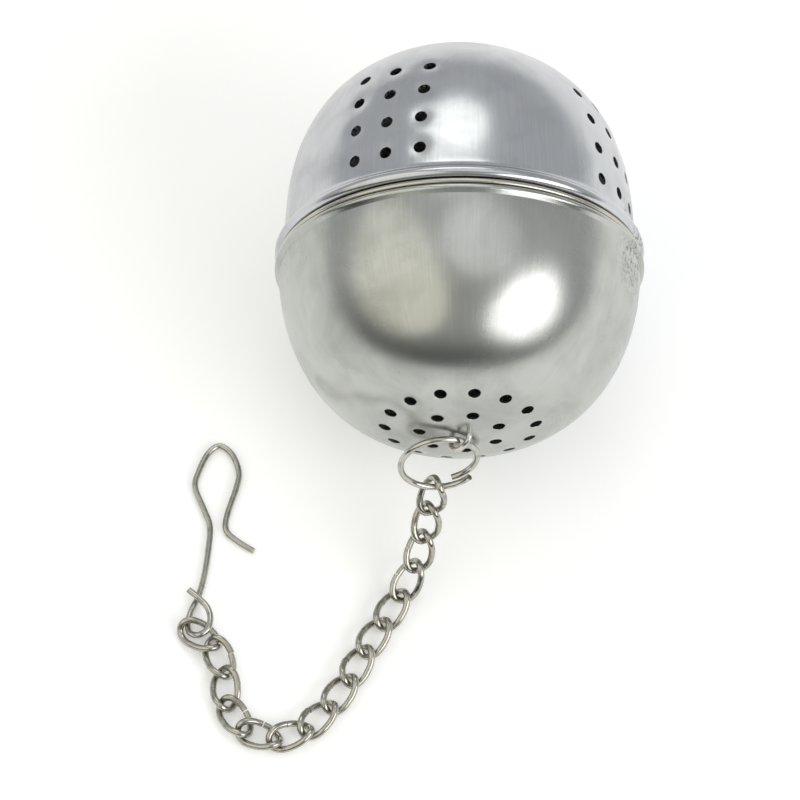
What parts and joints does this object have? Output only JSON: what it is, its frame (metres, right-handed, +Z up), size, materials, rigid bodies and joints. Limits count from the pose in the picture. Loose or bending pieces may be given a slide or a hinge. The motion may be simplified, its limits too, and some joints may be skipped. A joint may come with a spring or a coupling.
{
  "type": "tea infuser",
  "caption": "Egg-shaped steel tea infuser of two perforated halves that screw together, with a split ring, a curb chain and a wire hook.",
  "frame": {"origin": "middle of the footprint, on the surface that the infuser lies on", "axes": "+Y along the egg's long axis, from the chain end to the plain end; +Z up; +X to the right as seen from the chain end"},
  "size_m": [0.0506, 0.0734, 0.0398],
  "materials": {
    "near_shell_steel": "brushed stainless steel",
    "neck_steel": "plain stainless steel",
    "eye_steel": "plain stainless steel",
    "collar_steel": "plain stainless steel",
    "far_shell_steel": "brushed stainless steel",
    "ring_steel": "plain stainless steel",
    "chain_steel": "plain stainless steel",
    "hook_steel": "plain stainless steel"
  },
  "bodies": {
    "base": {"near_shell": "near_shell_steel", "neck_ring": "neck_steel", "pole_eye": "eye_steel"},
    "far_collar": {"far_collar": "collar_steel"},
    "far_shell": {"far_shell": "far_shell_steel"},
    "split_ring": {"split_ring": "ring_steel"},
    "link_01": {"link_01": "chain_steel"},
    "link_02": {"link_02": "chain_steel"},
    "link_03": {"link_03": "chain_steel"},
    "link_04": {"link_04": "chain_steel"},
    "link_05": {"link_05": "chain_steel"},
    "link_06": {"link_06": "chain_steel"},
    "link_07": {"link_07": "chain_steel"},
    "link_08": {"link_08": "chain_steel"},
    "link_09": {"link_09": "chain_steel"},
    "link_10": {"link_10": "chain_steel"},
    "link_11": {"link_11": "chain_steel"},
    "link_12": {"link_12": "chain_steel"},
    "link_13": {"link_13": "chain_steel"},
    "link_14": {"link_14": "chain_steel"},
    "link_15": {"link_15": "chain_steel"},
    "hook": {"hook": "hook_steel"}
  },
  "joints": [
    {"name": "far_lift", "type": "slide", "parent": "base", "child": "far_collar", "axis": [0, 1, 0], "range_m": [0, 0.0045]},
    {"name": "far_turn", "type": "hinge", "parent": "far_collar", "child": "far_shell", "pos_m": [0.0054, 0.01253, 0.0199], "axis": [0, 1, 0], "range_deg": [0, 540]},
    {"name": "ring_swing", "type": "hinge", "parent": "base", "child": "split_ring", "pos_m": [0.0054, -0.00877, 0.0199], "axis": [-0.829, 0, 0.5592], "range_deg": [-10, 75]},
    {"name": "link_01_swing", "type": "hinge", "parent": "split_ring", "child": "link_01", "pos_m": [0.00279, -0.0108, 0.01254], "axis": [-0.9921, -0.0523, 0.1144], "range_deg": [-45, 45]},
    {"name": "link_02_swing", "type": "hinge", "parent": "link_01", "child": "link_02", "pos_m": [0.00222, -0.01182, 0.00994], "axis": [-0.5127, 0.7772, -0.3648], "range_deg": [-15, 25]},
    {"name": "link_03_swing", "type": "hinge", "parent": "link_02", "child": "link_03", "pos_m": [0.00154, -0.01417, 0.00587], "axis": [0.8467, 0.3874, -0.3648], "range_deg": [-45, 45]},
    {"name": "link_04_swing", "type": "hinge", "parent": "link_03", "child": "link_04", "pos_m": [0.00094, -0.01581, 0.00373], "axis": [-0.374, 0.7224, -0.5816], "range_deg": [-45, 45]},
    {"name": "link_05_swing", "type": "hinge", "parent": "link_04", "child": "link_05", "pos_m": [-0.00119, -0.01909, 0.00103], "axis": [0.8121, -0.0478, -0.5816], "range_deg": [-45, 24]},
    {"name": "link_06_swing", "type": "hinge", "parent": "link_05", "child": "link_06", "pos_m": [-0.00264, -0.02141, 0.00093], "axis": [0.6061, -0.3642, 0.7071], "range_deg": [-45, 40]},
    {"name": "link_07_swing", "type": "hinge", "parent": "link_06", "child": "link_07", "pos_m": [-0.00509, -0.02548, 0.00093], "axis": [0.6061, -0.3642, -0.7071], "range_deg": [-40, 28]},
    {"name": "link_08_swing", "type": "hinge", "parent": "link_07", "child": "link_08", "pos_m": [-0.00622, -0.02805, 0.00093], "axis": [0.5862, -0.3954, 0.7071], "range_deg": [-33, 45]},
    {"name": "link_09_swing", "type": "hinge", "parent": "link_08", "child": "link_09", "pos_m": [-0.00887, -0.03199, 0.00093], "axis": [0.5862, -0.3954, -0.7071], "range_deg": [-45, 24]},
    {"name": "link_10_swing", "type": "hinge", "parent": "link_09", "child": "link_10", "pos_m": [-0.0106, -0.03411, 0.00093], "axis": [-0.2302, 0.6686, -0.7071], "range_deg": [-45, 15]},
    {"name": "link_11_swing", "type": "hinge", "parent": "link_10", "child": "link_11", "pos_m": [-0.01509, -0.03566, 0.00093], "axis": [0.2302, -0.6686, -0.7071], "range_deg": [-45, 5]},
    {"name": "link_12_swing", "type": "hinge", "parent": "link_11", "child": "link_12", "pos_m": [-0.01756, -0.0348, 0.00093], "axis": [-0.593, -0.3851, 0.7071], "range_deg": [-5, 45]},
    {"name": "link_13_swing", "type": "hinge", "parent": "link_12", "child": "link_13", "pos_m": [-0.02015, -0.03082, 0.00093], "axis": [0.593, 0.3851, 0.7071], "range_deg": [-12, 45]},
    {"name": "link_14_swing", "type": "hinge", "parent": "link_13", "child": "link_14", "pos_m": [-0.01978, -0.02812, 0.00093], "axis": [0.6601, 0.2534, -0.7071], "range_deg": [-24, 45]},
    {"name": "link_15_swing", "type": "hinge", "parent": "link_14", "child": "link_15", "pos_m": [-0.02149, -0.02369, 0.00093], "axis": [-0.6601, -0.2534, -0.7071], "range_deg": [-5, 60]},
    {"name": "hook_swing", "type": "hinge", "parent": "link_15", "child": "hook", "pos_m": [-0.02211, -0.02219, 0.00093], "axis": [0.8388, -0.4917, -0.2337], "range_deg": [-11, 40]}
  ],
  "couplings": [
    {"joint": "far_lift", "follows": "far_turn", "m_per_rad": 0.00047746}
  ]
}
